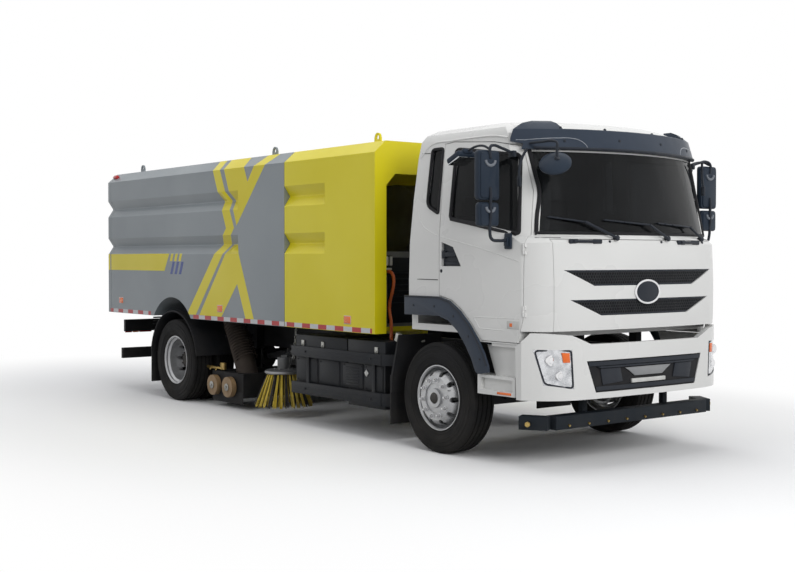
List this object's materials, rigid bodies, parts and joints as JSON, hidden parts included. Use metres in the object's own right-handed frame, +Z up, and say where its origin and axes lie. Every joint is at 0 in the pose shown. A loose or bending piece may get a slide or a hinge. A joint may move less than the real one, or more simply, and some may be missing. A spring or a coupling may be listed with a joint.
{
  "type": "street sweeper truck",
  "caption": "Cab-over street sweeper truck with tipping refuse hopper, blower shroud, side brushes and a wide suction nozzle.",
  "frame": {"origin": "middle of the vehicle's footprint, on the ground", "axes": "+X forward, +Y to the vehicle's left, +Z up"},
  "size_m": [8.41, 3.13, 3.0069],
  "materials": {
    "frame_black": "satin black chassis paint",
    "machine_grey": "satin dark grey paint",
    "trim_grey": "grained dark grey plastic",
    "black_plastic": "grained black plastic",
    "box_black": "satin black powder coat",
    "lamp_clear": "clear lamp lens",
    "cable_orange": "orange cable sheath",
    "body_yellow": "gloss yellow paint",
    "body_grey": "gloss mid grey paint",
    "cab_white": "gloss white paint",
    "tinted_glass": "dark tinted glass",
    "seat_cloth": "black woven seat cloth",
    "rim_silver": "silver wheel paint",
    "tyre_rubber": "black tyre rubber",
    "rod_chrome": "chromed rod",
    "bristle_yellow": "yellow and black bristles",
    "tube_rubber": "ribbed brown-grey rubber",
    "roller_tan": "tan solid tyre"
  },
  "bodies": {
    "chassis": {"chassis_frame": "frame_black", "front_axle": "frame_black", "rear_axle": "frame_black", "drive_motor": "machine_grey", "front_spray_bar": "trim_grey", "mudguards": "black_plastic", "battery_boxes": "box_black", "side_guards": "box_black", "rear_underrun": "frame_black", "lamps": "lamp_clear", "blower_unit": "machine_grey", "power_cable": "cable_orange", "front_shroud": "body_yellow", "bumper": "cab_white", "bumper_grille": "black_plastic", "suction_nozzle": "frame_black", "suction_tubes": "tube_rubber", "cab_shell": "cab_white", "cab_glass": "tinted_glass", "roof_visor": "trim_grey", "front_panel": "cab_white", "front_grilles": "black_plastic", "arch_trims": "trim_grey", "dashboard": "trim_grey", "seats": "seat_cloth", "kerb_mirror": "trim_grey"},
    "steering_wheel": {"steering_wheel": "black_plastic"},
    "door_right": {"door_right": "cab_white", "door_window_right": "tinted_glass", "mirrors_right": "trim_grey"},
    "knuckle_right": {"steering_knuckle_right": "frame_black"},
    "front_wheel_right": {"front_rim_right": "rim_silver", "front_tyre_right": "tyre_rubber"},
    "rear_wheels_right": {"rear_rims_right": "rim_silver", "rear_tyres_right": "tyre_rubber"},
    "brush_arm_right": {"brush_arm_right": "machine_grey"},
    "side_brush_right": {"side_brush_right": "bristle_yellow"},
    "door_left": {"door_left": "cab_white", "door_window_left": "tinted_glass", "mirrors_left": "trim_grey"},
    "knuckle_left": {"steering_knuckle_left": "frame_black"},
    "front_wheel_left": {"front_rim_left": "rim_silver", "front_tyre_left": "tyre_rubber"},
    "rear_wheels_left": {"rear_rims_left": "rim_silver", "rear_tyres_left": "tyre_rubber"},
    "brush_arm_left": {"brush_arm_left": "machine_grey"},
    "side_brush_left": {"side_brush_left": "bristle_yellow"},
    "hopper": {"hopper": "body_grey"},
    "hopper_door": {"hopper_door": "body_grey"},
    "tip_barrel": {"tip_barrel": "frame_black"},
    "tip_rod": {"tip_rod": "rod_chrome"},
    "nozzle_wheels_front": {"nozzle_wheels_front": "roller_tan"},
    "nozzle_wheels_rear": {"nozzle_wheels_rear": "roller_tan"}
  },
  "joints": [
    {"name": "steering_left", "type": "hinge", "parent": "chassis", "child": "knuckle_left", "pos_m": [2.77, 0.86, 0.506], "axis": [0, 0, 1], "range_deg": [-35, 35]},
    {"name": "front_wheel_left_spin", "type": "hinge", "parent": "knuckle_left", "child": "front_wheel_left", "pos_m": [2.77, 1.082, 0.506], "axis": [0, 1, 0], "continuous": true},
    {"name": "rear_wheels_left_spin", "type": "hinge", "parent": "chassis", "child": "rear_wheels_left", "pos_m": [-2.35, 0.9255, 0.506], "axis": [0, 1, 0], "continuous": true},
    {"name": "door_left_swing", "type": "hinge", "parent": "chassis", "child": "door_left", "pos_m": [3.893, 1.212, 1.5], "axis": [0, 0, -1], "range_deg": [0, 70]},
    {"name": "brush_arm_left_swing", "type": "hinge", "parent": "chassis", "child": "brush_arm_left", "pos_m": [-0.63, 0.56, 0.65], "axis": [0, 0, 1], "range_deg": [0, 28]},
    {"name": "side_brush_left_spin", "type": "hinge", "parent": "brush_arm_left", "child": "side_brush_left", "pos_m": [-0.28, 0.92, 0.48], "axis": [0, 0, 1], "continuous": true},
    {"name": "steering_right", "type": "hinge", "parent": "chassis", "child": "knuckle_right", "pos_m": [2.77, -0.86, 0.506], "axis": [0, 0, 1], "range_deg": [-35, 35]},
    {"name": "front_wheel_right_spin", "type": "hinge", "parent": "knuckle_right", "child": "front_wheel_right", "pos_m": [2.77, -1.082, 0.506], "axis": [0, 1, 0], "continuous": true},
    {"name": "rear_wheels_right_spin", "type": "hinge", "parent": "chassis", "child": "rear_wheels_right", "pos_m": [-2.35, -0.9255, 0.506], "axis": [0, 1, 0], "continuous": true},
    {"name": "door_right_swing", "type": "hinge", "parent": "chassis", "child": "door_right", "pos_m": [3.893, -1.212, 1.5], "axis": [0, 0, 1], "range_deg": [0, 70]},
    {"name": "brush_arm_right_swing", "type": "hinge", "parent": "chassis", "child": "brush_arm_right", "pos_m": [-0.63, -0.56, 0.65], "axis": [0, 0, -1], "range_deg": [0, 28]},
    {"name": "side_brush_right_spin", "type": "hinge", "parent": "brush_arm_right", "child": "side_brush_right", "pos_m": [-0.28, -0.92, 0.48], "axis": [0, 0, 1], "continuous": true},
    {"name": "steering_wheel_turn", "type": "hinge", "parent": "chassis", "child": "steering_wheel", "pos_m": [3.39, 0.56, 1.72], "axis": [-0.5, 0, 0.866], "range_deg": [-560, 560]},
    {"name": "hopper_tip", "type": "hinge", "parent": "chassis", "child": "hopper", "pos_m": [-4.03, 0, 1], "axis": [0, -1, 0], "range_deg": [0, 45]},
    {"name": "hopper_door_swing", "type": "hinge", "parent": "hopper", "child": "hopper_door", "pos_m": [-4.122, 0, 2.945], "axis": [0, 1, 0], "range_deg": [0, 90]},
    {"name": "tip_barrel_swing", "type": "hinge", "parent": "chassis", "child": "tip_barrel", "pos_m": [-3.13, 0, 0.8], "axis": [0, -1, 0], "range_deg": [0, 61.5]},
    {"name": "tip_rod_slide", "type": "slide", "parent": "tip_barrel", "child": "tip_rod", "axis": [0.99, 0, 0.1409], "range_m": [0, 0.5598]},
    {"name": "nozzle_wheels_front_spin", "type": "hinge", "parent": "chassis", "child": "nozzle_wheels_front", "pos_m": [-1.205, 0, 0.255], "axis": [0, 1, 0], "continuous": true},
    {"name": "nozzle_wheels_rear_spin", "type": "hinge", "parent": "chassis", "child": "nozzle_wheels_rear", "pos_m": [-1.56, 0, 0.255], "axis": [0, 1, 0], "continuous": true}
  ],
  "couplings": [
    {"joint": "steering_right", "follows": "steering_left", "ratio": 1},
    {"joint": "steering_wheel_turn", "follows": "steering_left", "ratio": 15.5},
    {"joint": "tip_barrel_swing", "follows": "hopper_tip", "ratio": 1.3557},
    {"joint": "tip_rod_slide", "follows": "hopper_tip", "m_per_rad": 0.70638}
  ]
}
